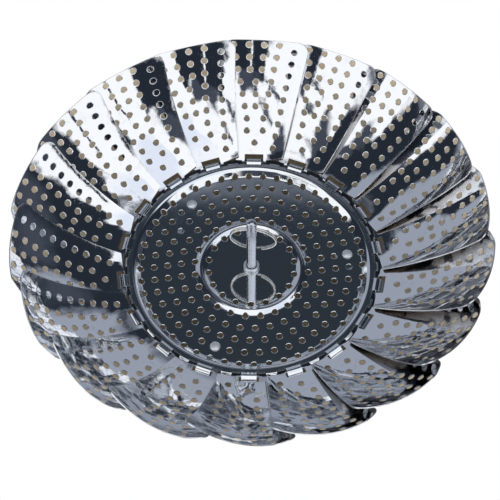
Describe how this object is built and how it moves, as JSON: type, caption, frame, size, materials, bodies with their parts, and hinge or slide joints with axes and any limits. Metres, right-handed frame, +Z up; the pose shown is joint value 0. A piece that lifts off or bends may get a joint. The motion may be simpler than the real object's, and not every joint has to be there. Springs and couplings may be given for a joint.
{
  "type": "folding steamer basket",
  "caption": "Folding steamer basket: overlapping perforated petals hinged round a perforated plate on folding legs, with a lifting post and ring.",
  "frame": {"origin": "on the post's axis, level with the undersides of the feet, with the basket open", "axes": "+Z up along the post; +Y to the far side in the picture, where petal_01 is; +X to the picture's right"},
  "size_m": [0.2348, 0.2338, 0.0819],
  "materials": {
    "petal_steel": "mirror-polished stainless sheet with fine rolling lines",
    "plate_steel": "mirror-polished stainless sheet with faint scratches",
    "post_steel": "bright turned stainless rod",
    "ring_wire": "drawn stainless spring wire",
    "leg_steel": "satin stainless sheet",
    "rivet_steel": "polished domed rivet head",
    "fastener_steel": "plain steel"
  },
  "bodies": {
    "basket": {"base_plate": "plate_steel", "center_post": "post_steel", "post_collar": "post_steel", "post_nut": "fastener_steel", "leg_bracket_1": "leg_steel", "leg_pin_1": "fastener_steel", "leg_rivet_1": "rivet_steel", "leg_bracket_2": "leg_steel", "leg_pin_2": "fastener_steel", "leg_rivet_2": "rivet_steel", "leg_bracket_3": "leg_steel", "leg_pin_3": "fastener_steel", "leg_rivet_3": "rivet_steel"},
    "petal_01": {"petal_01": "petal_steel"},
    "petal_02": {"petal_02": "petal_steel"},
    "petal_03": {"petal_03": "petal_steel"},
    "petal_04": {"petal_04": "petal_steel"},
    "petal_05": {"petal_05": "petal_steel"},
    "petal_06": {"petal_06": "petal_steel"},
    "petal_07": {"petal_07": "petal_steel"},
    "petal_08": {"petal_08": "petal_steel"},
    "petal_09": {"petal_09": "petal_steel"},
    "petal_10": {"petal_10": "petal_steel"},
    "petal_11": {"petal_11": "petal_steel"},
    "petal_12": {"petal_12": "petal_steel"},
    "petal_13": {"petal_13": "petal_steel"},
    "petal_14": {"petal_14": "petal_steel"},
    "petal_15": {"petal_15": "petal_steel"},
    "petal_16": {"petal_16": "petal_steel"},
    "petal_17": {"petal_17": "petal_steel"},
    "petal_18": {"petal_18": "petal_steel"},
    "leg_1": {"leg_1": "leg_steel"},
    "leg_2": {"leg_2": "leg_steel"},
    "leg_3": {"leg_3": "leg_steel"},
    "lifting_ring": {"lifting_ring": "ring_wire"}
  },
  "joints": [
    {"name": "petal_01_hinge", "type": "hinge", "parent": "basket", "child": "petal_01", "pos_m": [0, 0.06356, 0.04043], "axis": [1, 0, 0], "range_deg": [0, 72]},
    {"name": "petal_02_hinge", "type": "hinge", "parent": "basket", "child": "petal_02", "pos_m": [0.02174, 0.05973, 0.04043], "axis": [0.9397, -0.342, 0], "range_deg": [0, 72]},
    {"name": "petal_03_hinge", "type": "hinge", "parent": "basket", "child": "petal_03", "pos_m": [0.04086, 0.04869, 0.04043], "axis": [0.766, -0.6428, 0], "range_deg": [0, 72]},
    {"name": "petal_04_hinge", "type": "hinge", "parent": "basket", "child": "petal_04", "pos_m": [0.05504, 0.03178, 0.04043], "axis": [0.5, -0.866, 0], "range_deg": [0, 72]},
    {"name": "petal_05_hinge", "type": "hinge", "parent": "basket", "child": "petal_05", "pos_m": [0.06259, 0.01104, 0.04043], "axis": [0.1736, -0.9848, 0], "range_deg": [0, 72]},
    {"name": "petal_06_hinge", "type": "hinge", "parent": "basket", "child": "petal_06", "pos_m": [0.06259, -0.01104, 0.04043], "axis": [-0.1736, -0.9848, 0], "range_deg": [0, 72]},
    {"name": "petal_07_hinge", "type": "hinge", "parent": "basket", "child": "petal_07", "pos_m": [0.05504, -0.03178, 0.04043], "axis": [-0.5, -0.866, 0], "range_deg": [0, 72]},
    {"name": "petal_08_hinge", "type": "hinge", "parent": "basket", "child": "petal_08", "pos_m": [0.04086, -0.04869, 0.04043], "axis": [-0.766, -0.6428, 0], "range_deg": [0, 72]},
    {"name": "petal_09_hinge", "type": "hinge", "parent": "basket", "child": "petal_09", "pos_m": [0.02174, -0.05973, 0.04043], "axis": [-0.9397, -0.342, 0], "range_deg": [0, 72]},
    {"name": "petal_10_hinge", "type": "hinge", "parent": "basket", "child": "petal_10", "pos_m": [0, -0.06356, 0.04043], "axis": [-1, 0, 0], "range_deg": [0, 72]},
    {"name": "petal_11_hinge", "type": "hinge", "parent": "basket", "child": "petal_11", "pos_m": [-0.02174, -0.05973, 0.04043], "axis": [-0.9397, 0.342, 0], "range_deg": [0, 72]},
    {"name": "petal_12_hinge", "type": "hinge", "parent": "basket", "child": "petal_12", "pos_m": [-0.04086, -0.04869, 0.04043], "axis": [-0.766, 0.6428, 0], "range_deg": [0, 72]},
    {"name": "petal_13_hinge", "type": "hinge", "parent": "basket", "child": "petal_13", "pos_m": [-0.05504, -0.03178, 0.04043], "axis": [-0.5, 0.866, 0], "range_deg": [0, 72]},
    {"name": "petal_14_hinge", "type": "hinge", "parent": "basket", "child": "petal_14", "pos_m": [-0.06259, -0.01104, 0.04043], "axis": [-0.1736, 0.9848, 0], "range_deg": [0, 72]},
    {"name": "petal_15_hinge", "type": "hinge", "parent": "basket", "child": "petal_15", "pos_m": [-0.06259, 0.01104, 0.04043], "axis": [0.1736, 0.9848, 0], "range_deg": [0, 72]},
    {"name": "petal_16_hinge", "type": "hinge", "parent": "basket", "child": "petal_16", "pos_m": [-0.05504, 0.03178, 0.04043], "axis": [0.5, 0.866, 0], "range_deg": [0, 72]},
    {"name": "petal_17_hinge", "type": "hinge", "parent": "basket", "child": "petal_17", "pos_m": [-0.04086, 0.04869, 0.04043], "axis": [0.766, 0.6428, 0], "range_deg": [0, 72]},
    {"name": "petal_18_hinge", "type": "hinge", "parent": "basket", "child": "petal_18", "pos_m": [-0.02174, 0.05973, 0.04043], "axis": [0.9397, 0.342, 0], "range_deg": [0, 72]},
    {"name": "leg_1_hinge", "type": "hinge", "parent": "basket", "child": "leg_1", "pos_m": [0.04929, 0.00869, 0.0321], "axis": [-0.1736, 0.9848, 0], "range_deg": [0, 98]},
    {"name": "leg_2_hinge", "type": "hinge", "parent": "basket", "child": "leg_2", "pos_m": [-0.03217, 0.03834, 0.0321], "axis": [-0.766, -0.6428, 0], "range_deg": [0, 98]},
    {"name": "leg_3_hinge", "type": "hinge", "parent": "basket", "child": "leg_3", "pos_m": [-0.01712, -0.04703, 0.0321], "axis": [0.9397, -0.342, 0], "range_deg": [0, 98]},
    {"name": "lifting_ring_hinge", "type": "hinge", "parent": "basket", "child": "lifting_ring", "pos_m": [0, 0, 0.0731], "axis": [1, 0, 0], "range_deg": [0, 340]}
  ],
  "couplings": [
    {"joint": "petal_02_hinge", "follows": "petal_01_hinge", "ratio": 1},
    {"joint": "petal_03_hinge", "follows": "petal_01_hinge", "ratio": 1},
    {"joint": "petal_04_hinge", "follows": "petal_01_hinge", "ratio": 1},
    {"joint": "petal_05_hinge", "follows": "petal_01_hinge", "ratio": 1},
    {"joint": "petal_06_hinge", "follows": "petal_01_hinge", "ratio": 1},
    {"joint": "petal_07_hinge", "follows": "petal_01_hinge", "ratio": 1},
    {"joint": "petal_08_hinge", "follows": "petal_01_hinge", "ratio": 1},
    {"joint": "petal_09_hinge", "follows": "petal_01_hinge", "ratio": 1},
    {"joint": "petal_10_hinge", "follows": "petal_01_hinge", "ratio": 1},
    {"joint": "petal_11_hinge", "follows": "petal_01_hinge", "ratio": 1},
    {"joint": "petal_12_hinge", "follows": "petal_01_hinge", "ratio": 1},
    {"joint": "petal_13_hinge", "follows": "petal_01_hinge", "ratio": 1},
    {"joint": "petal_14_hinge", "follows": "petal_01_hinge", "ratio": 1},
    {"joint": "petal_15_hinge", "follows": "petal_01_hinge", "ratio": 1},
    {"joint": "petal_16_hinge", "follows": "petal_01_hinge", "ratio": 1},
    {"joint": "petal_17_hinge", "follows": "petal_01_hinge", "ratio": 1},
    {"joint": "petal_18_hinge", "follows": "petal_01_hinge", "ratio": 1}
  ]
}
